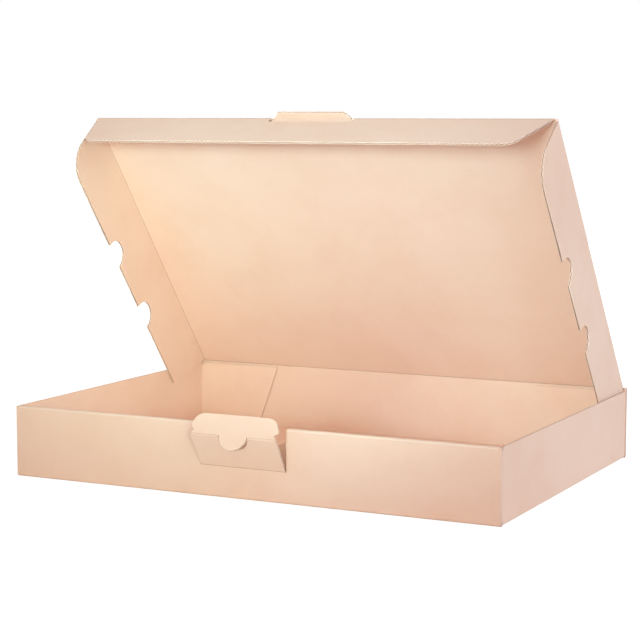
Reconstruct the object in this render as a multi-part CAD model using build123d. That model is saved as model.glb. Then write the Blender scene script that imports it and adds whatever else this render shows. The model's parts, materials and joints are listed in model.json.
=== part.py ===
"""Flat mailer box folded from one sheet of thin corrugated board, lid open as it stands in use.

The tray, the lid, the lid's three flaps and the latch with its tongue are all the same sheet.
Each stretch that can swing on a crease is a node of its own, cut at that crease.
Millimetres, +Z up, origin at the middle of the tray's underside, front wall towards -Y.
"""
import os
from math import cos, radians, sin, sqrt

from build123d import *

# Board and outside of the closed box
BOARD = 1.5
LENGTH = 350.0
DEPTH = 250.0
RIM_HEIGHT = 48.0
INNER_CREASE = 0.25

# Clearances
PLY_GAP = 0.2
EYE_CLEARANCE = 0.1
LID_OVER_RIM = 0.5
LID_SIDE_PLAY = 0.6
LID_FRONT_PLAY = 0.5
INNER_WALL_END_PLAY = 0.5
INNER_WALL_FOOT_GAP = 0.3
LATCH_SIDE_PLAY = 0.6
CORNER_AXIS_INSET = 0.15
HINGE_EAR_GAP = 0.3

# Pose in which the box stands open, degrees
LID_OPEN = 52.0
FRONT_FLAP_FOLD = 72.0
LATCH_TILT = 32.0
TONGUE_BEND = 58.0

# Dust flaps folded in from the ends of the side walls
DUST_TOP_GAP = 0.3
DUST_FOOT_GAP = 0.7
DUST_LENGTH_AT_TOP = 69.5
DUST_SLANT = 20.0
DUST_CORNER = 1.5
DUST_ROOT_RELIEF = 3.0

# Latch cut from the outer layer of the front wall, and its tongue from the inner layer
LATCH_WINDOW = 62.4
LATCH_CREASE_HEIGHT = 20.5
LATCH_LENGTH = 25.5
THUMB_RADIUS = 10.0
THUMB_RISE = 1.4
THUMB_KERF = 0.5
TONGUE_LENGTH = 14.5
TONGUE_CORNER = 8.5
EAR_HEIGHT = 4.9
EAR_OVERHANG = 0.3
NOTCH_HEIGHT = 3.2
NOTCH_DEPTH = 2.2
NOTCH_HALF_WIDTH = 1.3
TONGUE_ROOT_INSET = 0.4
INNER_CUT_DEPTH = 11.0

# Lid flaps
SIDE_FLAP_WIDTH = 45.5
SIDE_FLAP_START = 1.9
SIDE_FLAP_END_GAP = 0.85
SIDE_FLAP_SLANT = 0.4
SIDE_FLAP_NOSE = 20.0
SIDE_FLAP_HEEL = 3.0
THUMB_NOTCH_RADIUS = 10.5
THUMB_NOTCH_INSET = 1.0
THUMB_NOTCH_SPACING = 61.0
FRONT_FLAP_HEIGHT = 43.5
FRONT_FLAP_END_GAP = 0.9
FRONT_FLAP_TAPER = 14.0
FRONT_FLAP_CORNER = 9.0
FRONT_FLAP_RELIEF = 1.05

# Tab on the lid's front edge and the slot that it leaves in the front flap
TAB_ROOT = 59.0
TAB_TIP = 49.5
TAB_LENGTH = 5.3
TAB_CORNER = 1.2
SLOT_WIDTH = 62.6
SLOT_DEPTH = 6.4
SLOT_CORNER = 1.0

# Worked out from the sizes above
HALF_BOARD = BOARD / 2
BEND = INNER_CREASE + HALF_BOARD
LAP = BOARD
EYE = HALF_BOARD
SOCKET = EYE + EYE_CLEARANCE
FRONT_PLIES = 3
FRONT_WALL = FRONT_PLIES * BOARD + (FRONT_PLIES - 1) * PLY_GAP
FLOOR_MID = HALF_BOARD
WALL_MID_X = LENGTH / 2 - HALF_BOARD
WALL_MID_Y = DEPTH / 2 - HALF_BOARD
RIM_MID = RIM_HEIGHT - HALF_BOARD
INNER_WALL_MID_Y = DEPTH / 2 - FRONT_WALL + HALF_BOARD
DUST_MID_Y = DEPTH / 2 - BOARD - PLY_GAP - HALF_BOARD
INNER_WALL_HALF = LENGTH / 2 - BOARD - INNER_WALL_END_PLAY
WINDOW_HALF = LATCH_WINDOW / 2
LATCH_HALF = WINDOW_HALF - LATCH_SIDE_PLAY
INNER_CUT_FLOOR = RIM_HEIGHT - INNER_CUT_DEPTH

LID_HALF = LENGTH / 2 - BOARD - LID_SIDE_PLAY
HINGE_HEIGHT = RIM_HEIGHT + LID_OVER_RIM + HALF_BOARD
LID_SPAN = WALL_MID_Y + DEPTH / 2 - FRONT_WALL - LID_FRONT_PLAY - HALF_BOARD
CORNER_AXIS = BOARD + CORNER_AXIS_INSET
LID_FLAT_HALF = LID_HALF - CORNER_AXIS
SIDE_FLAP_END = LID_SPAN - SIDE_FLAP_END_GAP
FRONT_FLAP_ROOT = LID_HALF - BOARD - FRONT_FLAP_END_GAP
FRONT_FLAP_TIP = FRONT_FLAP_ROOT - FRONT_FLAP_TAPER


def turned(angle: float) -> Vector:
    """A unit vector in the YZ plane, turned from +Y towards +Z by an angle in degrees."""
    return Vector(0, cos(radians(angle)), sin(radians(angle)))


# Frame of each board: x runs along the crease, y away from it, z through the board
LID_PLANE = Plane(
    origin=(0, WALL_MID_Y, HINGE_HEIGHT), x_dir=(1, 0, 0), z_dir=turned(270 - LID_OPEN)
)
FRONT_FLAP_PLANE = Plane(
    origin=LID_PLANE.from_local_coords((0, LID_SPAN, 0)),
    x_dir=(1, 0, 0),
    z_dir=turned(270 - LID_OPEN + FRONT_FLAP_FOLD),
)
LATCH_PLANE = Plane(
    origin=(0, -WALL_MID_Y, LATCH_CREASE_HEIGHT), x_dir=(1, 0, 0), z_dir=turned(180 + LATCH_TILT)
)
TONGUE_PLANE = Plane(
    origin=LATCH_PLANE.from_local_coords((0, LATCH_LENGTH, 0)),
    x_dir=(1, 0, 0),
    z_dir=turned(180 + LATCH_TILT - TONGUE_BEND),
)


def board(outline: Sketch) -> Part:
    """An outline in a board's own frame, given the board's thickness about its middle."""
    return extrude(outline, amount=HALF_BOARD, both=True)


def folded_strip(plane: Plane, points: list, half_width: float) -> Part:
    """A strip of board that follows a path in a plane, with a round bend at each crease."""
    section = trace(FilletPolyline(*points, radius=BEND), line_width=BOARD)
    return extrude(plane * section, amount=half_width, both=True)


def crossbar(radius: float, start: float, end: float, at: float = 0.0) -> Part:
    """A round bar along a board's crease, from one x to another, at a distance from the crease."""
    return Pos((start + end) / 2, at, 0) * Rot(0, 90, 0) * Cylinder(radius, abs(end - start))


def block(x_range: tuple, y_range: tuple, z_range: tuple) -> Part:
    """A box between two limits on each axis."""
    ranges = (x_range, y_range, z_range)
    centre = [(low + high) / 2 for low, high in ranges]
    size = [high - low for low, high in ranges]
    return Pos(*centre) * Box(*size)


def creased(shape: Part, start: float, end: float, relief: float, inside: int) -> Part:
    """Cut a board's end to clear a hinge eye, with one face cut back so that it can fold that way.

    relief is how far that face is cut back, and inside is its side of the board, 1 or -1.
    """
    face = sorted((0, inside * BOARD))
    cutter = block((start, end), (-BOARD, relief), (face[0], face[1]))
    cutter += block((start, end), (-BOARD, 0), (-BOARD, BOARD))
    return shape - (cutter + crossbar(SOCKET, start, end))


def dust_flap(top: float) -> Part:
    """The flap at the right front: round the wall's end and along the front wall, slanted at its end."""
    wall_end = DUST_MID_Y - BEND
    path = [(WALL_MID_X, LAP - wall_end), (WALL_MID_X, -DUST_MID_Y), (0, -DUST_MID_Y)]
    foot = BOARD + DUST_FOOT_GAP
    section = trace(FilletPolyline(*path, radius=BEND), line_width=BOARD)
    strip = extrude(Pos(0, 0, foot) * section, amount=top - foot)
    run = LENGTH / 2 - DUST_LENGTH_AT_TOP
    low_run = run + (top - foot) * sin(radians(DUST_SLANT)) / cos(radians(DUST_SLANT))
    outline = make_face(
        Polyline((LENGTH, foot), (low_run, foot), (run, top), (LENGTH, top), close=True)
    )
    free_corners = outline.vertices().sort_by(Axis.X)[:2]
    outline = fillet(free_corners, DUST_CORNER)
    return strip & extrude(Plane.XZ * outline, amount=DEPTH, both=True)


def tray() -> Part:
    """Floor, single side and back walls, dust flaps, and the front wall rolled over to two layers."""
    bend_start_x = WALL_MID_X - BEND
    bend_start_y = WALL_MID_Y - BEND
    wall_end = DUST_MID_Y - BEND
    body = block((-bend_start_x, bend_start_x), (-bend_start_y, bend_start_y), (0, BOARD))
    side = [(bend_start_x - LAP, FLOOR_MID), (WALL_MID_X, FLOOR_MID), (WALL_MID_X, RIM_HEIGHT)]
    right_wall = folded_strip(Plane.XZ, side, wall_end)
    body += right_wall + mirror(right_wall, Plane.YZ)

    back = [(bend_start_y - LAP, FLOOR_MID), (WALL_MID_Y, FLOOR_MID), (WALL_MID_Y, RIM_HEIGHT)]
    back_wall = folded_strip(Plane.YZ, back, LENGTH / 2)
    body += back_wall + mirror(back_wall, Plane.XZ)
    body -= block(
        (-INNER_WALL_HALF, INNER_WALL_HALF),
        (-DEPTH / 2, -DEPTH / 2 + BOARD),
        (RIM_MID - BEND, RIM_HEIGHT),
    )
    rolled = [
        (-WALL_MID_Y, RIM_MID - BEND - LAP),
        (-WALL_MID_Y, RIM_MID),
        (-INNER_WALL_MID_Y, RIM_MID),
        (-INNER_WALL_MID_Y, BOARD + INNER_WALL_FOOT_GAP),
    ]
    body += folded_strip(Plane.YZ, rolled, INNER_WALL_HALF)

    neck = (WALL_MID_Y - HALF_BOARD, WALL_MID_Y + HALF_BOARD)
    body += block((-LID_HALF, LID_HALF), neck, (RIM_MID, HINGE_HEIGHT))
    body += Pos(0, WALL_MID_Y, HINGE_HEIGHT) * crossbar(EYE, -LID_HALF, LID_HALF)
    ear = block((LID_HALF + HINGE_EAR_GAP, LENGTH / 2), neck, (RIM_MID, HINGE_HEIGHT + EYE))
    body += ear + mirror(ear, Plane.YZ)
    return latch_window(body + dust_flaps())


def dust_flaps() -> Part:
    """All four dust flaps: the front pair stands inside the rolled wall, the rear pair is glued.

    The rear pair is cut back at its root, where the lid's side flaps come down beside the hinge.
    """
    front_right = dust_flap(RIM_HEIGHT - BOARD - DUST_TOP_GAP)
    rear_top = RIM_HEIGHT - DUST_TOP_GAP
    rear_right = mirror(dust_flap(rear_top), Plane.XZ)
    wall_inside = LENGTH / 2 - BOARD
    rear_right -= block(
        (wall_inside - DUST_ROOT_RELIEF, wall_inside),
        (0, DEPTH / 2 - BOARD),
        (rear_top - BOARD, RIM_HEIGHT),
    )
    right_pair = front_right + rear_right
    return right_pair + mirror(right_pair, Plane.YZ)


def latch_window(body: Part) -> Part:
    """Cut the latch out of the outer layer and over the rim, and the tongue out of the inner layer."""
    above = RIM_HEIGHT + BOARD
    middle = -DEPTH / 2 + BOARD + PLY_GAP / 2
    outer = block(
        (-WINDOW_HALF, WINDOW_HALF), (-DEPTH / 2 - BOARD, middle), (LATCH_CREASE_HEIGHT, above)
    )
    cut_depth = above - INNER_CUT_FLOOR
    tongue_shape = Rectangle(LATCH_WINDOW, cut_depth, align=(Align.CENTER, Align.MIN))
    tongue_shape = fillet(tongue_shape.vertices().group_by(Axis.Y)[0], TONGUE_CORNER)
    inner_plane = Plane(origin=(0, middle, INNER_CUT_FLOOR), x_dir=(1, 0, 0), z_dir=(0, -1, 0))
    inner = extrude(inner_plane * tongue_shape, amount=-FRONT_WALL)
    crease = Pos(0, -WALL_MID_Y, LATCH_CREASE_HEIGHT) * crossbar(EYE, -WINDOW_HALF, WINDOW_HALF)
    return body - outer - inner + crease


def lid_panel() -> Part:
    """The lid: rounded over at its sides and front, with the tab that covers the latch."""
    flat = Rectangle(2 * LID_FLAT_HALF, LID_SPAN - SOCKET, align=(Align.CENTER, Align.MIN))
    shape = board(Pos(0, SOCKET) * flat)
    right_edge = side_edge()
    shape += right_edge + mirror(right_edge, Plane.YZ)
    shape += crossbar(EYE, -LID_FLAT_HALF, LID_FLAT_HALF, at=LID_SPAN)
    tab = make_face(
        Polyline(
            (-TAB_ROOT / 2, LID_SPAN),
            (-TAB_TIP / 2, LID_SPAN + EYE + TAB_LENGTH),
            (TAB_TIP / 2, LID_SPAN + EYE + TAB_LENGTH),
            (TAB_ROOT / 2, LID_SPAN),
            close=True,
        )
    )
    tab = fillet(tab.vertices().group_by(Axis.Y)[-1], TAB_CORNER)
    return shape + board(tab)


def side_edge() -> Part:
    """The round outer face of the fold between the lid and its right flap."""
    ring = Circle(CORNER_AXIS) - Circle(CORNER_AXIS_INSET)
    quarter = ring & Rectangle(2 * CORNER_AXIS, 2 * CORNER_AXIS, align=(Align.MIN, Align.MAX))
    plane = Plane(
        origin=(LID_FLAT_HALF, SOCKET, HALF_BOARD + CORNER_AXIS_INSET),
        x_dir=(1, 0, 0),
        z_dir=(0, -1, 0),
    )
    return extrude(plane * quarter, amount=-(LID_SPAN - SOCKET))


def side_flap() -> Part:
    """The right flap in the lid's frame: round nose, slanted heel and two half-round thumb notches."""
    top = HALF_BOARD + CORNER_AXIS_INSET + EYE_CLEARANCE
    heel = SIDE_FLAP_START + SIDE_FLAP_SLANT * SIDE_FLAP_WIDTH
    outline = make_face(
        Polyline(
            (SIDE_FLAP_START, top),
            (heel, SIDE_FLAP_WIDTH),
            (SIDE_FLAP_END, SIDE_FLAP_WIDTH),
            (SIDE_FLAP_END, top),
            close=True,
        )
    )
    free_edge = outline.vertices().group_by(Axis.Y)[-1].sort_by(Axis.X)
    outline = fillet(free_edge[-1], SIDE_FLAP_NOSE)
    heel_corner = outline.vertices().group_by(Axis.Y)[-1].sort_by(Axis.X)[0]
    outline = fillet(heel_corner, SIDE_FLAP_HEEL)
    middle = (LID_SPAN + EYE) / 2
    for side in (-1, 1):
        centre = middle + side * THUMB_NOTCH_SPACING / 2
        outline -= Pos(centre, SIDE_FLAP_WIDTH - THUMB_NOTCH_INSET) * Circle(THUMB_NOTCH_RADIUS)
        outline -= Pos(centre, SIDE_FLAP_WIDTH) * Rectangle(
            2 * THUMB_NOTCH_RADIUS, 2 * THUMB_NOTCH_INSET
        )
    plane = Plane(origin=(LID_HALF, 0, 0), x_dir=(0, 1, 0), z_dir=(1, 0, 0))
    return extrude(plane * outline, amount=-BOARD)


def front_flap() -> Part:
    """The tuck flap on the lid's front edge, tapered to its free edge, with the latch slot."""
    outline = make_face(
        Polyline(
            (-FRONT_FLAP_ROOT, -SOCKET),
            (-FRONT_FLAP_ROOT, 0),
            (-FRONT_FLAP_TIP, FRONT_FLAP_HEIGHT),
            (FRONT_FLAP_TIP, FRONT_FLAP_HEIGHT),
            (FRONT_FLAP_ROOT, 0),
            (FRONT_FLAP_ROOT, -SOCKET),
            close=True,
        )
    )
    outline = fillet(outline.vertices().group_by(Axis.Y)[-1], FRONT_FLAP_CORNER)
    slot = Rectangle(SLOT_WIDTH, SLOT_DEPTH + BOARD, align=(Align.CENTER, Align.MAX))
    slot = fillet(slot.vertices().group_by(Axis.Y)[-1], SLOT_CORNER)
    shape = board(outline - Pos(0, SLOT_DEPTH) * slot)
    return creased(shape, -LID_HALF, LID_HALF, FRONT_FLAP_RELIEF, 1)


def latch() -> Part:
    """The panel that swings out of the front wall, with the half-moon gap left by the thumb tab."""
    height = LATCH_LENGTH + BOARD
    shape = board(
        Pos(0, -BOARD) * Rectangle(2 * LATCH_HALF, height, align=(Align.CENTER, Align.MIN))
    )
    shape = creased(shape, -WINDOW_HALF, WINDOW_HALF, SOCKET, 1)
    shape += crossbar(EYE, -LATCH_HALF, LATCH_HALF, at=LATCH_LENGTH)
    gap = Pos(0, LATCH_LENGTH + THUMB_RISE) * Circle(THUMB_RADIUS + THUMB_KERF)
    return shape - board(gap)


def tongue() -> Part:
    """The tongue with its round corners and catch notches, and the thumb tab in the same plane."""
    root = LATCH_HALF - TONGUE_ROOT_INSET
    ear = LATCH_HALF + EAR_OVERHANG
    outline = make_face(
        Polyline(
            (-root, 0),
            (-root, NOTCH_HEIGHT - NOTCH_HALF_WIDTH),
            (-root + NOTCH_DEPTH, NOTCH_HEIGHT),
            (-ear, EAR_HEIGHT),
            (-ear, TONGUE_LENGTH),
            (ear, TONGUE_LENGTH),
            (ear, EAR_HEIGHT),
            (root - NOTCH_DEPTH, NOTCH_HEIGHT),
            (root, NOTCH_HEIGHT - NOTCH_HALF_WIDTH),
            (root, 0),
            close=True,
        )
    )
    outline = fillet(outline.vertices().group_by(Axis.Y)[-1], TONGUE_CORNER)
    shape = board(outline)
    thumb_half = sqrt(THUMB_RADIUS**2 - THUMB_RISE**2)
    for side in (-1, 1):
        inner_end = side * thumb_half
        outer_end = side * LATCH_WINDOW
        start, end = sorted((inner_end, outer_end))
        shape = creased(shape, start, end, SOCKET, -1)
    thumb = Pos(0, THUMB_RISE) * Circle(THUMB_RADIUS) & Pos(0, -THUMB_RADIUS) * Rectangle(
        2 * THUMB_RADIUS, 2 * THUMB_RADIUS
    )
    return shape + board(thumb)


def main() -> None:
    """Build every node at rest and write it to parts."""
    right_flap = side_flap()
    nodes = {
        "tray": tray(),
        "lid_panel": LID_PLANE.location * lid_panel(),
        "lid_right_flap": LID_PLANE.location * right_flap,
        "lid_left_flap": LID_PLANE.location * mirror(right_flap, Plane.YZ),
        "lid_front_flap": FRONT_FLAP_PLANE.location * front_flap(),
        "latch_panel": LATCH_PLANE.location * latch(),
        "latch_tongue": TONGUE_PLANE.location * tongue(),
    }
    os.makedirs("parts", exist_ok=True)
    for name, shape in nodes.items():
        export_step(shape, f"parts/{name}.step")


main()
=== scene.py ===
"""Flat mailer box of fine corrugated board, its lid standing open.

Each board is dressed as the real sheet is made: two paper liners with a fluted medium between
them, open wherever the sheet was cut and closed wherever it is folded. Metres throughout, in the
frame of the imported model: +X along the front wall, +Y towards the lid's hinge, +Z up.
"""

import json
import logging
from abc import ABC, abstractmethod
from dataclasses import dataclass
from enum import Enum
from math import ceil, cos, floor, pi, radians

import bmesh
import bpy
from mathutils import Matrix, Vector

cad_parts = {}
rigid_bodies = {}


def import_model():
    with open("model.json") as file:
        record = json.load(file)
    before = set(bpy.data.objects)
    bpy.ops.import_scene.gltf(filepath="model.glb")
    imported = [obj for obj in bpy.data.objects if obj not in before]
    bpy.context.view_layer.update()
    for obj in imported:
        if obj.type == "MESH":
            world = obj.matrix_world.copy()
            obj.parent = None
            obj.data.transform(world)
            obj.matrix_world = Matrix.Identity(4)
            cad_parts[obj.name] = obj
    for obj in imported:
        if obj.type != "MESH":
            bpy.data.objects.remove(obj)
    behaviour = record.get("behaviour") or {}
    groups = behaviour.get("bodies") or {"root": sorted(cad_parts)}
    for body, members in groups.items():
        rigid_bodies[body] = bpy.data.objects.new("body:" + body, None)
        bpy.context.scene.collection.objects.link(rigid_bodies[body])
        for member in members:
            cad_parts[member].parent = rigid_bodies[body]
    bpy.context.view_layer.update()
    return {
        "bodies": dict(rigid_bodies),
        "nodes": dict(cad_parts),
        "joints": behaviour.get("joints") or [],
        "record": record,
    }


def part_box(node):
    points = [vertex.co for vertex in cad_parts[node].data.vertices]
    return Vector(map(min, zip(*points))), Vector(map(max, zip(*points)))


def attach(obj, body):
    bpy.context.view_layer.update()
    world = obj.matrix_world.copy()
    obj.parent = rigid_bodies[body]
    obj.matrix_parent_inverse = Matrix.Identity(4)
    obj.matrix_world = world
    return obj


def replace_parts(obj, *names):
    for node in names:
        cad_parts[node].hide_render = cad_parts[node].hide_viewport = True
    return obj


LOG = logging.getLogger("mailer_box")
MM = 0.001
SHEET_MAP = "sheet"
# Corner attribute that carries the painted light of bends: highlight on upward bends, shade in
# valley creases
PAINTED_FOLD_LIGHT_LAYER = "fold"
# Place of the colour among the outputs of a Mix node
MIXED_COLOUR = 2
WHITE = (1.0, 1.0, 1.0, 1.0)
X_AXIS = Vector((1, 0, 0))
Y_AXIS = Vector((0, 1, 0))
Z_AXIS = Vector((0, 0, 1))
# Direction in which the valley of each fold opens
VALLEYS: dict[str, Vector] = {
    "lid_hinge": -Y_AXIS,
    "right_flap_fold": -X_AXIS,
    "left_flap_fold": X_AXIS,
    "front_flap_fold": -Z_AXIS,
    "latch_fold": -Y_AXIS,
    "tongue_fold": Y_AXIS,
}

Colour = tuple[float, float, float, float]
Span = tuple[float, float]


class Layer(Enum):
    """The papers that a board shows."""

    LINER = "brown paper of both faces"
    INSIDE = "fluted medium and inner side of a liner"
    CUT = "cut edge of a paper"


class Thickening(Enum):
    """Where the thickness of a paper goes from the shell that it is made from."""

    INWARDS = -1.0
    BOTH_WAYS = 0.0


@dataclass(frozen=True)
class BoardStock:
    """Sizes of the corrugated board that the whole box is cut from.

    Attributes:
        caliper: Its whole thickness.
        liner: The thickness of each liner.
        medium: The thickness of the fluted paper between them.
        flute_pitch: The way from one crest of a flute to the next.
        steps_per_flute: The number of bends that make one flute round.
    """

    caliper: float = 1.5 * MM
    liner: float = 0.28 * MM
    medium: float = 0.36 * MM
    flute_pitch: float = 3.2 * MM
    steps_per_flute: int = 8

    @property
    def flute_swing(self) -> float:
        """How far the medium's middle swings to each side of the board's middle."""
        return (self.caliper - 2 * self.liner - self.medium) / 2

    @property
    def flute_step(self) -> float:
        """The way across the flutes from one bend of the medium to the next."""
        return self.flute_pitch / self.steps_per_flute

    def wave(self, place: float) -> float:
        """How far the medium stands towards the outer liner at a place across the flutes."""
        # The die presses the outer liner down as it cuts, so the flutes stay open mostly on the
        # inner side: the troughs are narrower than the crests.
        trough = (1 - cos(2 * pi * place / self.flute_pitch)) / 2
        return self.flute_swing * (1 - 2 * trough * trough)


@dataclass(frozen=True)
class Gauge:
    """The limits by which the faces of a board are told apart.

    Attributes:
        merge: Corners nearer to each other than this are one corner.
        facet: Faces that turn by less than this, in radians, are one face.
        slit: Corners nearer than this to a cut lie on it.
        sharp: Edges that turn by more than this, in radians, stay sharp.
        level: How far off a panel's level a face may lie and still be part of it.
        flat: The cosine with a panel's normal above which a face is parallel to it.
        bent: The cosine with every panel's normal up to which a face is part of a bend.
        square: The cosine with a panel's normal up to which a face is a cut through it.
        strip: The least and most area over perimeter that a cut face has, in calipers.
        near: How far off a panel's level a face still counts as the panel's, in calipers.
    """

    merge: float = 0.001 * MM
    facet: float = radians(0.3)
    slit: float = 0.0005 * MM
    sharp: float = radians(35)
    level: float = 0.02 * MM
    flat: float = 0.9999
    bent: float = 0.998
    square: float = 0.02
    strip: Span = (0.42, 0.52)
    near: float = 1.1


@dataclass(frozen=True)
class Crease:
    """A fold line that a board swings on.

    Attributes:
        point: A point on it.
        axis: Unit direction along it.
        valley: Unit direction in which its valley opens.
    """

    point: Vector
    axis: Vector
    valley: Vector

    def distance(self, place: Vector) -> float:
        """The shortest way from a point to the fold line, in metres."""
        offset = place - self.point
        return (offset - self.axis * offset.dot(self.axis)).length


@dataclass(frozen=True)
class Panel:
    """One flat stretch of the sheet, by the normal and level of its outer face.

    Attributes:
        normal: Unit normal of that face.
        flute: Unit direction in which the flutes run.
        level: Distance of that face from the origin along the normal, or None for the outermost.
        across: Stretches across the flutes in which the medium is made. Empty makes all of it.
        along: The lowest place along the flutes at which the medium is made, or None.
        folds: Fold lines beside which the flutes are crushed and the medium is left out.
        fluted: Whether the medium is made at all. It isn't where no cut edge shows it.
    """

    normal: Vector
    flute: Vector
    level: float | None = None
    across: tuple[Span, ...] = ()
    along: float | None = None
    folds: tuple[Crease, ...] = ()
    fluted: bool = True

    @property
    def width(self) -> Vector:
        """Unit direction across the flutes."""
        return self.flute.cross(self.normal).normalized()

    def height(self, face: bmesh.types.BMFace) -> float:
        """The level of a face's middle along the panel's normal."""
        return face.calc_center_median().dot(self.normal)

    def misfit(self, face: bmesh.types.BMFace, reach: float) -> float:
        """Tell how badly a face matches the panel.

        Args:
            face: A face of the board.
            reach: How far off the panel's level the face may lie at no cost, in metres.

        Returns:
            Nought for a face of the panel, and more the further it is turned or lies off it.
        """
        turn = 1 - abs(face.normal.dot(self.normal))
        if self.level is None:
            return turn
        return turn + max(0.0, abs(self.height(face) - self.level) - reach)


class Wire:
    """A node's output that adds Math nodes as it is used in an expression."""

    def __init__(self, graph: "Graph", socket: bpy.types.NodeSocket) -> None:
        """Keep the graph that new nodes go into and the socket that is wrapped."""
        self.graph = graph
        self.socket = socket

    def _math(self, operation: str, *values: "Wire | float") -> "Wire":
        """Add one Math node on the given values."""
        return self.graph.add(
            "ShaderNodeMath", {"operation": operation}, dict(enumerate(values))
        )

    def __add__(self, other: "Wire | float") -> "Wire":
        """The sum with another wire or number."""
        return self._math("ADD", self, other)

    def __sub__(self, other: "Wire | float") -> "Wire":
        """The difference from another wire or number."""
        return self._math("SUBTRACT", self, other)

    def __rsub__(self, other: float) -> "Wire":
        """A number less this wire."""
        return self._math("SUBTRACT", other, self)

    def __mul__(self, other: "Wire | float") -> "Wire":
        """The product with another wire or number."""
        return self._math("MULTIPLY", self, other)

    def __gt__(self, other: "Wire | float") -> "Wire":
        """One where this wire is above the other, and nought elsewhere."""
        return self._math("GREATER_THAN", self, other)

    def __lt__(self, other: "Wire | float") -> "Wire":
        """One where this wire is below the other, and nought elsewhere."""
        return self._math("LESS_THAN", self, other)

    __radd__ = __add__
    __rmul__ = __mul__

    def cosine(self) -> "Wire":
        """The cosine of this wire, in radians."""
        return self._math("COSINE", self)

    def beside(self, output: str) -> "Wire":
        """Another output of the same node."""
        return Wire(self.graph, self.socket.node.outputs[output])

    def between(self, low: float, high: float) -> "Wire":
        """A smooth step from nought at low to one at high."""
        return self.graph.add(
            "ShaderNodeMapRange",
            {"interpolation_type": "SMOOTHSTEP"},
            {"Value": self, "From Min": low, "From Max": high},
        )


@dataclass(frozen=True)
class Noise:
    """A cloudy pattern.

    Attributes:
        scale: The number of clouds in one unit of length.
        detail: How often finer clouds are laid over them.
        roughness: How strongly the finer clouds show.
    """

    scale: float
    detail: float
    roughness: float = 0.5


class Graph:
    """The node tree of a material or a world, filled from values and wires."""

    def __init__(self, owner: bpy.types.Material | bpy.types.World, output: str) -> None:
        """Empty the owner's tree.

        Args:
            owner: The material or world.
            output: The type of the output node that finish adds.
        """
        self.owner = owner
        self.owner.use_nodes = True
        self.tree = owner.node_tree
        self.tree.nodes.clear()
        self.output = output

    @classmethod
    def of_material(cls, name: str) -> "Graph":
        """Start a new material."""
        return cls(bpy.data.materials.new(name), "ShaderNodeOutputMaterial")

    @classmethod
    def of_world(cls, name: str) -> "Graph":
        """Start a new world."""
        return cls(bpy.data.worlds.new(name), "ShaderNodeOutputWorld")

    def node(
        self, kind: str, settings: dict | None = None, sockets: dict | None = None
    ) -> bpy.types.Node:
        """Add one node of any type.

        Args:
            kind: The node's type.
            settings: Its own properties, set before its sockets.
            sockets: Values or wires for its inputs, by name, identifier or place.

        Returns:
            The new node.
        """
        node = self.tree.nodes.new(kind)
        for name, value in (settings or {}).items():
            setattr(node, name, value)
        for key, value in (sockets or {}).items():
            socket = self._input(node, key)
            if isinstance(value, Wire):
                self.tree.links.new(value.socket, socket)
            else:
                socket.default_value = value
        return node

    def add(
        self,
        kind: str,
        settings: dict | None = None,
        sockets: dict | None = None,
        output: int | str = 0,
    ) -> Wire:
        """Add one node and return one of its outputs, by name or place, for an expression."""
        return Wire(self, self.node(kind, settings, sockets).outputs[output])

    @staticmethod
    def _input(node: bpy.types.Node, key: int | str) -> bpy.types.NodeSocket:
        """Find an input of a node.

        Args:
            node: The node.
            key: The input's place, identifier or name.

        Returns:
            The input.
        """
        if isinstance(key, int):
            return node.inputs[key]
        for socket in node.inputs:
            if socket.identifier == key:
                return socket
        return node.inputs[key]

    def blend(self, factor: Wire | float, under: Wire | Colour, over: Wire | Colour) -> Wire:
        """Mix one colour over another by a factor."""
        sockets = {"Factor_Float": factor, "A_Color": under, "B_Color": over}
        return self.add("ShaderNodeMix", {"data_type": "RGBA"}, sockets, MIXED_COLOUR)

    def noise(self, place: Wire, pattern: Noise) -> Wire:
        """A noise pattern laid out by a wire of coordinates."""
        sockets = {
            "Vector": place,
            "Scale": pattern.scale,
            "Detail": pattern.detail,
            "Roughness": pattern.roughness,
        }
        return self.add("ShaderNodeTexNoise", {}, sockets)

    def finish(self, surface: Wire) -> bpy.types.Material | bpy.types.World:
        """Send a shader to the output and return the material or world."""
        self.node(self.output, {}, {"Surface": surface})
        return self.owner


def shade(red: float, green: float, blue: float) -> Colour:
    """Turn an sRGB colour into a linear one.

    Args:
        red: Its red, from 0 to 255.
        green: Its green.
        blue: Its blue.

    Returns:
        The linear colour, with an alpha of one.
    """
    channels = [value / 255 for value in (red, green, blue)]
    linear = [
        value / 12.92 if value <= 0.04045 else ((value + 0.055) / 1.055) ** 2.4
        for value in channels
    ]
    return (*linear, 1.0)


@dataclass(frozen=True)
class Paper:
    """What all papers of the board share: a dull surface with a fine relief.

    Attributes:
        name: The material's name.
        roughness: How dull the surface is.
        specular: The strength of its sheen.
        bump: How strongly the relief shows.
        relief: The relief's height.
    """

    name: str
    roughness: float = 0.9
    specular: float = 0.5
    bump: float = 0.3
    relief: float = 0.05 * MM

    def surface(
        self, graph: Graph, colour: Wire, roughness: Wire | float, height: Wire
    ) -> bpy.types.Material:
        """Finish the material of a paper.

        Args:
            graph: The material's graph.
            colour: The colour over the surface.
            roughness: The roughness, one for all or over the surface.
            height: The relief over the surface.

        Returns:
            The finished material.
        """
        bump = graph.add(
            "ShaderNodeBump",
            {},
            {"Strength": self.bump, "Distance": self.relief, "Height": height},
        )
        sockets = {
            "Base Color": colour,
            "Roughness": roughness,
            "Normal": bump,
            "Specular IOR Level": self.specular,
        }
        return graph.finish(graph.add("ShaderNodeBsdfPrincipled", {}, sockets))


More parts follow.
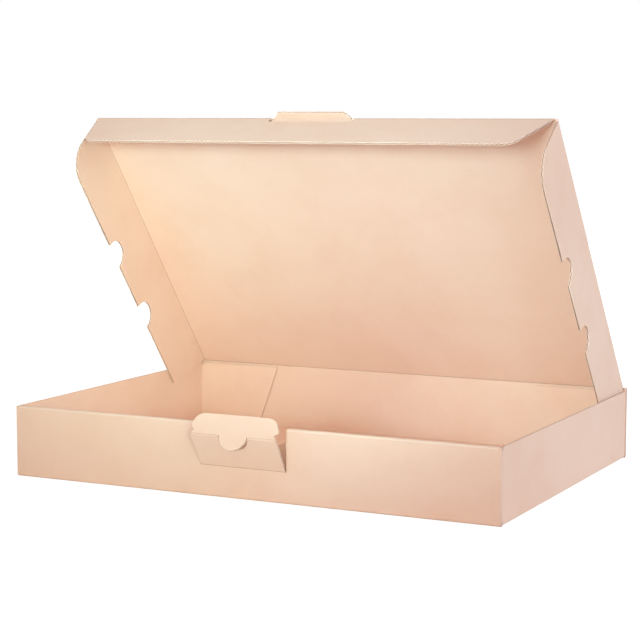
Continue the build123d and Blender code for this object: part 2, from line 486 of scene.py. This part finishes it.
@dataclass(frozen=True)
class KraftPaper(Paper):
    """The brown paper of the liners: cloudy pulp, long fibres, specks and a trace of the flutes."""

    name: str = "kraft_liner"
    roughness: float = 0.82
    specular: float = 0.3
    bump: float = 0.25
    pulp: Colour = shade(243, 212, 196)
    cloud: Colour = shade(240, 206, 188)
    fibre: Colour = shade(245, 218, 204)
    # Painted highlight colour for bends that face upwards.
    painted_highlight: Colour = shade(255, 236, 220)
    # Painted shade colour for valley creases.
    crushed: Colour = shade(158, 110, 84)
    speck: Colour = shade(150, 108, 78)
    cloud_noise: Noise = Noise(28.0, 5.0, 0.6)
    cloud_range: Span = (0.35, 0.75)
    fibre_length: float = 7.0 * MM
    fibre_width: float = 0.7 * MM
    fibre_noise: Noise = Noise(1.0, 4.0, 0.65)
    fibre_range: Span = (0.45, 0.85)
    fibre_share: float = 0.5
    fibre_height: float = 0.6
    fibre_roughness: float = 0.1
    grain_noise: Noise = Noise(2600.0, 2.0)
    grain_height: float = 0.4
    flute_trace: float = 0.03
    flute_height: float = 0.08
    speck_spacing: float = 9.0 * MM
    speck_radius: float = 0.035
    speck_core: float = 0.5
    speck_share: float = 0.55
    # Strength of the painted highlight on upward bends.
    painted_highlight_share: float = 0.5
    # Strength of the painted shade in valley creases.
    painted_crease_shade: float = 0.85

    def material(self, stock: BoardStock) -> bpy.types.Material:
        """Build the paper's material.

        Args:
            stock: The board, for the pitch of the flutes that show through faintly.

        Returns:
            The finished material.
        """
        graph = Graph.of_material(self.name)
        sheet = graph.add("ShaderNodeUVMap", {"uv_map": SHEET_MAP})
        place = graph.add("ShaderNodeTexCoord", output="Object")
        stretch = (1 / self.fibre_length, 1 / self.fibre_width, 1.0)
        stretched = graph.add("ShaderNodeMapping", {}, {"Vector": sheet, "Scale": stretch})
        clouds = graph.noise(place, self.cloud_noise)
        fibres = graph.noise(stretched, self.fibre_noise)
        grain = graph.noise(place, self.grain_noise)
        across = graph.add("ShaderNodeSeparateXYZ", {}, {"Vector": sheet}, "X")
        flutes = (across * (2 * pi / stock.flute_pitch)).cosine()
        fold = graph.add("ShaderNodeAttribute", {"attribute_name": PAINTED_FOLD_LIGHT_LAYER}, output="Fac")
        colour = graph.blend(clouds.between(*self.cloud_range), self.pulp, self.cloud)
        shown = fibres.between(*self.fibre_range) * self.fibre_share
        colour = graph.blend(shown, colour, self.fibre)
        colour = graph.blend((flutes + 1.0) * self.flute_trace, colour, self.cloud)
        colour = graph.blend(self._specks(graph, place), colour, self.speck)
        # Painted highlight on bends that face upwards.
        colour = graph.blend(fold.between(0, 1) * self.painted_highlight_share, colour, self.painted_highlight)
        # Painted shade in valley creases.
        colour = graph.blend(fold.between(0, -1) * self.painted_crease_shade, colour, self.crushed)
        rough = self.roughness + fibres * self.fibre_roughness
        height = fibres * self.fibre_height + grain * self.grain_height
        return self.surface(graph, colour, rough, height + flutes * self.flute_height)

    def _specks(self, graph: Graph, place: Wire) -> Wire:
        """Scatter bark specks, one in some of the cells of a random grid.

        Args:
            graph: The material's graph.
            place: The coordinates that lay out the grid.

        Returns:
            How much of a speck's colour shows.
        """
        sockets = {"Vector": place, "Scale": 1 / self.speck_spacing}
        near = graph.add("ShaderNodeTexVoronoi", {}, sockets, "Distance")
        chance = graph.add("ShaderNodeSeparateColor", {}, {"Color": near.beside("Color")}, "Red")
        spot = 1.0 - near.between(self.speck_radius * self.speck_core, self.speck_radius)
        return spot * (chance < self.speck_share) * chance.beside("Green")


@dataclass(frozen=True, kw_only=True)
class PlainPaper(Paper):
    """Raw paper that shows only at a cut edge: the liners' thickness, or the medium."""

    light: Colour
    dark: Colour
    pulp_noise: Noise = Noise(900.0, 3.0)
    pulp_range: Span = (0.3, 0.8)

    def material(self) -> bpy.types.Material:
        """Build the raw paper's material.

        Returns:
            The finished material.
        """
        graph = Graph.of_material(self.name)
        place = graph.add("ShaderNodeTexCoord", output="Object")
        pulp = graph.noise(place, self.pulp_noise)
        colour = graph.blend(pulp.between(*self.pulp_range), self.light, self.dark)
        return self.surface(graph, colour, self.roughness, pulp)


@dataclass
class Papers:
    """The finishes of the board, one for each of its papers."""

    finishes: dict[Layer, bpy.types.Material]

    @classmethod
    def mixed(cls, stock: BoardStock) -> "Papers":
        """Build the finishes of one board stock.

        Args:
            stock: The board.

        Returns:
            The finishes.
        """
        # Dark brown paper for the medium and the liners' inner faces: painted shade in the hollow
        # flute channels that show at cut edges.
        shaded_fluting = PlainPaper("fluting_paper_painted_shade", light=shade(198, 150, 124), dark=shade(178, 130, 104))
        cut = PlainPaper("cut_liner", light=shade(253, 229, 216), dark=shade(245, 216, 202))
        return cls(
            {
                Layer.LINER: KraftPaper().material(stock),
                Layer.INSIDE: shaded_fluting.material(),
                Layer.CUT: cut.material(),
            }
        )

    def dress(self, piece: bpy.types.Object, layers: tuple[Layer, ...]) -> None:
        """Give a piece the finishes of some papers, one slot after the other."""
        for layer in layers:
            piece.data.materials.append(self.finishes[layer])


def new_piece(name: str, mesh: bmesh.types.BMesh) -> bpy.types.Object:
    """Turn a bmesh into an object at the origin.

    Args:
        name: The object's name.
        mesh: The bmesh, which is freed.

    Returns:
        The object.
    """
    data = bpy.data.meshes.new(name)
    mesh.to_mesh(data)
    mesh.free()
    piece = bpy.data.objects.new(name, data)
    bpy.context.scene.collection.objects.link(piece)
    LOG.info("%s: %d faces", name, len(data.polygons))
    return piece


@dataclass
class FoldedBoard:
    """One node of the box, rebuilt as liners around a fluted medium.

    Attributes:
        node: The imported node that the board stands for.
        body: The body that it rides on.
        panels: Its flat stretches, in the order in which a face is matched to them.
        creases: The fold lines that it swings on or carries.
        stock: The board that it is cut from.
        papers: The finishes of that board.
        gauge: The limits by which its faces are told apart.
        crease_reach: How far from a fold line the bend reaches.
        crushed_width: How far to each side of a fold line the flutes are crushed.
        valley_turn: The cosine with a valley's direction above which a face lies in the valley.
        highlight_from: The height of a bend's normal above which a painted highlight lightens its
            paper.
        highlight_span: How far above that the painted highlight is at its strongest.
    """

    node: str
    body: str
    panels: tuple[Panel, ...]
    creases: tuple[Crease, ...]
    stock: BoardStock
    papers: Papers
    gauge: Gauge = Gauge()
    crease_reach: float = 1.75 * MM
    crushed_width: float = 1.0 * MM
    valley_turn: float = 0.2
    highlight_from: float = 0.15
    highlight_span: float = 0.5

    def build(self, source: bpy.types.Object) -> None:
        """Make the liners and the medium, and put them in the node's place.

        Args:
            source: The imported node's object.
        """
        sheet = bmesh.new()
        sheet.from_mesh(source.data)
        bmesh.ops.remove_doubles(sheet, verts=sheet.verts, dist=self.gauge.merge)
        bmesh.ops.dissolve_limit(
            sheet, angle_limit=self.gauge.facet, verts=sheet.verts, edges=sheet.edges
        )
        raw = [face for face in sheet.faces if self._is_raw_edge(face)]
        bmesh.ops.delete(sheet, geom=raw, context="FACES")
        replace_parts(self._liners(sheet.copy()), self.node)
        for number, panel in enumerate(self.panels):
            if panel.fluted:
                self._medium(sheet.copy(), panel, number)
        sheet.free()

    def _fold_at(self, face: bmesh.types.BMFace) -> Crease | None:
        """Find the fold that a face belongs to.

        Args:
            face: A face of the board.

        Returns:
            The fold line that all its corners are near to, or None.
        """
        for crease in self.creases:
            if all(crease.distance(vertex.co) < self.crease_reach for vertex in face.verts):
                return crease
        return None

    def _is_raw_edge(self, face: bmesh.types.BMFace) -> bool:
        """Tell whether a face is a cut through the whole board, away from the fold lines.

        Args:
            face: A face of the board's solid.

        Returns:
            True if the board is open there.
        """
        if self._fold_at(face) is not None:
            return False
        perimeter = sum(edge.calc_length() for edge in face.edges)
        strip = face.calc_area() / perimeter / self.stock.caliper
        narrowest, widest = self.gauge.strip
        if narrowest < strip < widest:
            return True
        for panel in self.panels:
            if abs(face.normal.dot(panel.normal)) > self.gauge.square:
                continue
            depths = [vertex.co.dot(panel.normal) for vertex in face.verts]
            if abs(max(depths) - min(depths) - self.stock.caliper) < self.gauge.level:
                return True
        return False

    def _painted_fold_light(self, face: bmesh.types.BMFace) -> float:
        """Tell how much painted light a bend puts on the paper of a face.

        Args:
            face: A face of the board.

        Returns:
            -1 for painted shade where the face lies in a valley crease, up to 1 for a painted
            highlight where a bend faces upwards, and 0 on a flat stretch.
        """
        if any(abs(face.normal.dot(panel.normal)) > self.gauge.bent for panel in self.panels):
            return 0.0
        crease = self._fold_at(face)
        if crease is not None:
            # Painted shade on the faces of a crease that turn into its valley.
            return -1.0 if face.normal.dot(crease.valley) > self.valley_turn else 0.0
        # Painted highlight on other bends, stronger the more they face upwards.
        return min(1.0, max(0.0, (face.normal.z - self.highlight_from) / self.highlight_span))

    def _panel_of(self, face: bmesh.types.BMFace) -> Panel:
        """The panel whose plane lies nearest to a face's direction and level."""
        reach = self.stock.caliper * self.gauge.near
        return min(self.panels, key=lambda panel: panel.misfit(face, reach))

    def _liners(self, shell: bmesh.types.BMesh) -> bpy.types.Object:
        """Make both liners, and lay the sheet's own map on them.

        Args:
            shell: A copy of the board's open shell.

        Returns:
            The piece.
        """
        sheet_map = shell.loops.layers.uv.new(SHEET_MAP)
        marks = shell.loops.layers.float.new(PAINTED_FOLD_LIGHT_LAYER)
        for face in shell.faces:
            face.smooth = True
            panel = self._panel_of(face)
            # The painted light of the face: highlight on upward bends, shade in valley creases.
            fold_light = self._painted_fold_light(face)
            for loop in face.loops:
                place = loop.vert.co
                loop[sheet_map].uv = (place.dot(panel.width), place.dot(panel.flute))
                loop[marks] = fold_light
        for edge in shell.edges:
            joins = len(edge.link_faces) == 2
            edge.smooth = joins and edge.calc_face_angle() < self.gauge.sharp
        layers = tuple(Layer)
        thickness = self.stock.liner
        piece = self._paper_piece("liners", shell, layers, thickness, Thickening.INWARDS)
        piece.modifiers.new("flat_faces", "WEIGHTED_NORMAL").keep_sharp = True
        return piece

    def _medium(self, shell: bmesh.types.BMesh, panel: Panel, number: int) -> None:
        """Make one panel's fluted medium from the outline of its outer face.

        Args:
            shell: A copy of the board's open shell.
            panel: The panel.
            number: Its place in the list, for the piece's name.
        """
        flat = [f for f in shell.faces if f.normal.dot(panel.normal) > self.gauge.flat]
        level = max(map(panel.height, flat)) if panel.level is None else panel.level
        outer = {face for face in flat if abs(panel.height(face) - level) < self.gauge.level}
        spare = [face for face in shell.faces if face not in outer]
        bmesh.ops.delete(shell, geom=spare, context="FACES")
        middle = panel.normal * (-self.stock.caliper / 2)
        bmesh.ops.translate(shell, vec=middle, verts=shell.verts)
        if panel.along is not None:
            self._slice(shell, panel.flute * panel.along, panel.flute, clear_inner=True)
        self._clear_folds(shell, panel)
        self._corrugate(shell, panel)
        name = f"medium_{number}"
        layers = (Layer.INSIDE, Layer.CUT)
        self._paper_piece(name, shell, layers, self.stock.medium, Thickening.BOTH_WAYS)

    def _clear_folds(self, shell: bmesh.types.BMesh, panel: Panel) -> None:
        """Take the medium away beside the panel's fold lines, where its flutes are crushed.

        Args:
            shell: The flat medium.
            panel: The panel.
        """
        for crease in panel.folds:
            side = panel.normal.cross(crease.axis).normalized()
            for shift in (-self.crushed_width, self.crushed_width):
                self._slice(shell, crease.point + side * shift, side)
            crushed = [
                face
                for face in shell.faces
                if abs((face.calc_center_median() - crease.point).dot(side)) < self.crushed_width
            ]
            bmesh.ops.delete(shell, geom=crushed, context="FACES")

    def _corrugate(self, shell: bmesh.types.BMesh, panel: Panel) -> None:
        """Cut the flat medium along its flutes and bend it into waves between the liners.

        Args:
            shell: The flat medium.
            panel: The panel.
        """
        step = self.stock.flute_step
        places = [vertex.co.dot(panel.width) for vertex in shell.verts]
        for low, high in panel.across or ((min(places), max(places)),):
            for count in range(ceil(low / step), floor(high / step) + 1):
                self._slice(shell, panel.width * (count * step), panel.width)
        if panel.across:
            hidden = [
                face
                for face in shell.faces
                if not any(
                    low - step < face.calc_center_median().dot(panel.width) < high + step
                    for low, high in panel.across
                )
            ]
            bmesh.ops.delete(shell, geom=hidden, context="FACES")
        for vertex in shell.verts:
            vertex.co += panel.normal * self.stock.wave(vertex.co.dot(panel.width))
        for face in shell.faces:
            face.smooth = True

    def _slice(
        self, shell: bmesh.types.BMesh, point: Vector, normal: Vector, clear_inner: bool = False
    ) -> None:
        """Cut a whole mesh by a plane, and take away what lies behind it if asked."""
        bmesh.ops.bisect_plane(
            shell,
            geom=shell.verts[:] + shell.edges[:] + shell.faces[:],
            dist=self.gauge.slit,
            plane_co=point,
            plane_no=normal,
            clear_inner=clear_inner,
        )

    def _paper_piece(
        self,
        name: str,
        shell: bmesh.types.BMesh,
        layers: tuple[Layer, ...],
        thickness: float,
        thickening: Thickening,
    ) -> bpy.types.Object:
        """Turn a shell into a piece of paper that moves with the board's body.

        Args:
            name: What the piece is called after its node.
            shell: The shell, which is freed.
            layers: The papers that it shows, by slot.
            thickness: The paper's thickness.
            thickening: Where that thickness goes.

        Returns:
            The piece.
        """
        piece = new_piece(f"{self.node}_{name}", shell)
        self.papers.dress(piece, layers)
        paper = piece.modifiers.new("paper", "SOLIDIFY")
        paper.thickness = thickness
        paper.offset = thickening.value
        paper.material_offset = layers.index(Layer.INSIDE)
        paper.material_offset_rim = layers.index(Layer.CUT)
        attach(piece, self.body)
        return piece


@dataclass
class SheetPart(ABC):
    """A part of the box whose boards are built and dressed together.

    Attributes:
        frame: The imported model.
        stock: The board that it is cut from.
        papers: The finishes of that board.
        edge_window: How far in from a cut edge the medium is made, where the rest is hidden.
    """

    frame: dict
    stock: BoardStock
    papers: Papers
    edge_window: float = 4 * MM

    @abstractmethod
    def boards(self) -> list[FoldedBoard]:
        """The boards of this part, in the order in which they are built."""

    def build(self) -> None:
        """Build and dress every board of this part."""
        for board in self.boards():
            board.build(self.frame["nodes"][board.node])

    def creases_of(self, body: str) -> tuple[Crease, ...]:
        """The fold lines of all joints that a body takes part in."""
        return tuple(
            Crease(
                Vector(joint["pos_m"]),
                Vector(joint["axis"]).normalized(),
                VALLEYS[joint["name"]],
            )
            for joint in self.frame["joints"]
            if body in (joint["parent"], joint["child"])
        )

    def flat_normal(self, node: str, outside: Vector) -> Vector:
        """Find the normal of a node's largest flat face.

        Args:
            node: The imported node.
            outside: A direction on the side of the sheet that is the box's outside.

        Returns:
            The normal, turned towards that side.
        """
        mesh = self.frame["nodes"][node].data
        normal = max(mesh.polygons, key=lambda polygon: polygon.area).normal.copy()
        return normal if normal.dot(outside) > 0 else -normal

    def flat_board(
        self,
        node: str,
        body: str,
        outside: Vector,
        flute: Vector | None = None,
        along: float | None = None,
    ) -> FoldedBoard:
        """Describe a board with a single flat stretch.

        Args:
            node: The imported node.
            body: Its body.
            outside: A direction on the side of the sheet that is the box's outside.
            flute: The direction of its flutes, or None for square to X in the board's plane.
            along: The lowest place along the flutes at which the medium is made, or None.

        Returns:
            The board, ready to build.
        """
        normal = self.flat_normal(node, outside)
        direction = flute or normal.cross(X_AXIS).normalized()
        folds = self.creases_of(body)
        panel = Panel(normal, direction, along=along, folds=folds)
        return FoldedBoard(node, body, (panel,), folds, self.stock, self.papers)


@dataclass
class Tray(SheetPart):
    """The tray, whose flutes run front to back under the floor and up the front and back walls.

    Attributes:
        flap_gap: The room between a dust flap and the wall beside it.
    """

    flap_gap: float = 0.2 * MM

    def boards(self) -> list[FoldedBoard]:
        """The tray's one board.

        Returns:
            A list of that board alone.
        """
        low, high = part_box("tray")
        latch_low, latch_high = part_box("latch_panel")
        caliper = self.stock.caliper
        window = self.edge_window
        ends = (
            (low.x, low.x + window),
            (latch_low.x - window, latch_low.x),
            (latch_high.x, latch_high.x + window),
            (high.x - window, high.x),
        )
        dust_flaps = high.y - caliper - self.flap_gap
        inner_ply = low.y + 3 * caliper + 2 * self.flap_gap
        panels = (
            Panel(-Z_AXIS, Y_AXIS, -low.z, fluted=False),
            Panel(X_AXIS, Y_AXIS, high.x),
            Panel(-X_AXIS, Y_AXIS, -low.x),
            Panel(-Y_AXIS, Z_AXIS, -low.y, across=ends),
            Panel(Y_AXIS, Z_AXIS, high.y, across=ends),
            Panel(Y_AXIS, X_AXIS, dust_flaps),
            Panel(-Y_AXIS, X_AXIS, dust_flaps),
            Panel(Y_AXIS, Z_AXIS, inner_ply),
        )
        folds = self.creases_of("tray")
        return [FoldedBoard("tray", "tray", panels, folds, self.stock, self.papers)]


@dataclass
class Lid(SheetPart):
    """The lid and its three flaps. The lid's own flutes show only at the tab on its front edge."""

    def boards(self) -> list[FoldedBoard]:
        """The lid's panel and its flaps.

        Returns:
            Their boards.
        """
        hinge = self.creases_of("lid")[0]
        front = self.creases_of("front_flap")[0]
        forward = (front.point - hinge.point).normalized()
        tab_root = front.point.dot(forward) - self.edge_window
        return [
            self.flat_board("lid_panel", "lid", Y_AXIS, forward, tab_root),
            self.flat_board("lid_right_flap", "right_flap", X_AXIS, forward),
            self.flat_board("lid_left_flap", "left_flap", -X_AXIS, forward),
            self.flat_board("lid_front_flap", "front_flap", Z_AXIS),
        ]


@dataclass
class Latch(SheetPart):
    """The latch that is folded out of the front wall, and its tongue."""

    def boards(self) -> list[FoldedBoard]:
        """The boards of the latch and its tongue."""
        return [
            self.flat_board("latch_panel", "latch", -Y_AXIS),
            self.flat_board("latch_tongue", "tongue", Z_AXIS),
        ]


@dataclass(frozen=True)
class Lamp:
    """One soft lamp: a square one, or a round one whose snoot keeps its beam to a cone.

    Attributes:
        name: Its object's name.
        place: Where it hangs.
        aim: The point that it faces.
        size: The length of its side, or its radius.
        energy: Its power in watts.
        tint: Its colour.
        beam: The whole angle of its cone in degrees, or None for a square lamp.
        feather: The share of the cone over which its edge fades.
    """

    name: str
    place: tuple[float, float, float]
    aim: tuple[float, float, float]
    size: float
    energy: float
    tint: tuple[float, float, float]
    beam: float | None = None
    feather: float = 0.35

    def hang(self) -> None:
        """Add the lamp to the scene."""
        if self.beam is None:
            data = bpy.data.lights.new(self.name, "AREA")
            data.shape = "SQUARE"
            data.size = self.size
        else:
            data = bpy.data.lights.new(self.name, "SPOT")
            data.shadow_soft_size = self.size
            data.spot_size = radians(self.beam)
            data.spot_blend = self.feather
        data.energy = self.energy
        data.color = self.tint
        lamp = bpy.data.objects.new(self.name, data)
        lamp.location = self.place
        towards = Vector(self.aim) - Vector(self.place)
        lamp.rotation_euler = towards.to_track_quat("-Z", "Y").to_euler()
        bpy.context.scene.collection.objects.link(lamp)


LAMPS = (
    Lamp(
        "front",
        place=(0.4, -2.0, 0.6),
        aim=(0, 0, 0.1),
        size=1.6,
        energy=8.2,
        tint=(1.0, 0.46, 0.02),
    ),
    Lamp(
        "side",
        place=(1.8, -0.5, 0.9),
        aim=(0, 0, 0.1),
        size=1.6,
        energy=14.7,
        tint=(0.8, 0.94, 1.0),
    ),
    Lamp(
        "mouth",
        place=(0.22, -1.2, 0.32),
        aim=(-0.02, 0, 0.26),
        size=0.12,
        energy=44.8,
        tint=(0.65, 1.0, 1.0),
        beam=22,
    ),
    Lamp(
        "left_inside",
        place=(0.75, -1.05, 0.26),
        aim=(-0.2, 0.02, 0.12),
        size=0.08,
        energy=23.2,
        tint=(0.67, 1.0, 0.71),
        beam=13,
    ),
    Lamp(
        "right_inside",
        place=(0.9, -0.9, 0.5),
        aim=(0.1, 0.12, 0.03),
        size=0.03,
        energy=9.0,
        tint=(0.45, 0.84, 1.0),
        beam=8,
    ),
    Lamp(
        "far_corner",
        place=(-0.1, -1.2, 0.4),
        aim=(0.14, 0.1, 0.07),
        size=0.08,
        energy=24.4,
        tint=(0.64, 1.0, 0.98),
        beam=9,
    ),
    Lamp(
        "back",
        place=(-0.5, 2.1, 0.35),
        aim=(0, 0.1, 0.12),
        size=1.6,
        energy=16.0,
        tint=(1.0, 1.0, 0.85),
    ),
)


@dataclass
class Studio:
    """A plain pale floor, soft light from all round, and the camera."""

    lamps: tuple[Lamp, ...] = LAMPS
    floor_size: float = 60.0
    floor_colour: Colour = (0.9, 0.9, 0.9, 1.0)
    floor_glow: float = 1.42
    floor_glow_share: float = 0.6
    room_tint: Colour = (1.0, 0.94, 0.94, 1.0)
    room_strength: float = 0.5
    camera_place: tuple[float, float, float] = (553.8 * MM, -1124.4 * MM, 245.3 * MM)
    azimuth: float = 26.53
    elevation: float = 6.49
    lens: float = 102.5

    @staticmethod
    def seen(graph: Graph) -> Wire:
        """Tell the rays that show the background from those that light the box.

        Args:
            graph: The graph of the floor or the world.

        Returns:
            One for rays that come from the camera or from a mirror or glass, else nought.
        """
        camera = graph.add("ShaderNodeLightPath", output="Is Camera Ray")
        seen = camera + camera.beside("Is Glossy Ray") + camera.beside("Is Transmission Ray")
        return seen > 0.5

    def floor(self) -> None:
        """Lay the floor, which keeps the box's shadow and shows white elsewhere."""
        mesh = bmesh.new()
        bmesh.ops.create_grid(mesh, x_segments=1, y_segments=1, size=self.floor_size / 2)
        piece = new_piece("floor", mesh)
        graph = Graph.of_material("pale_floor")
        share = self.seen(graph) * self.floor_glow_share
        paint = graph.add("ShaderNodeBsdfDiffuse", {}, {"Color": self.floor_colour})
        glow = graph.add("ShaderNodeEmission", {}, {"Strength": self.floor_glow})
        surface = graph.add("ShaderNodeMixShader", {}, {0: share, 1: paint, 2: glow})
        piece.data.materials.append(graph.finish(surface))

    def sky(self) -> None:
        """Light the box evenly from all round, and show white behind it."""
        graph = Graph.of_world("soft_room")
        room = {"Color": self.room_tint, "Strength": self.room_strength}
        soft = graph.add("ShaderNodeBackground", {}, room)
        white = graph.add("ShaderNodeBackground", {}, {"Color": WHITE, "Strength": 1.0})
        sockets = {0: self.seen(graph), 1: soft, 2: white}
        surface = graph.add("ShaderNodeMixShader", {}, sockets)
        bpy.context.scene.world = graph.finish(surface)

    def camera(self) -> None:
        """Stand the camera where the photograph was taken from."""
        data = bpy.data.cameras.new("camera")
        data.lens = self.lens
        camera = bpy.data.objects.new("camera", data)
        camera.location = self.camera_place
        camera.rotation_euler = (radians(90 - self.elevation), 0, radians(self.azimuth))
        bpy.context.scene.collection.objects.link(camera)
        bpy.context.scene.camera = camera

    def build(self) -> None:
        """Set up the floor, the light and the camera."""
        self.floor()
        self.sky()
        for lamp in self.lamps:
            lamp.hang()
        self.camera()
        bpy.context.scene.view_settings.view_transform = "Standard"


def main() -> None:
    """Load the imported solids, dress the box and set up the studio."""
    logging.basicConfig(level=logging.INFO, format="%(message)s")
    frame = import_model()
    stock = BoardStock()
    papers = Papers.mixed(stock)
    for part in (Tray, Lid, Latch):
        part(frame, stock, papers).build()
    Studio().build()


if __name__ == "__main__":
    main()
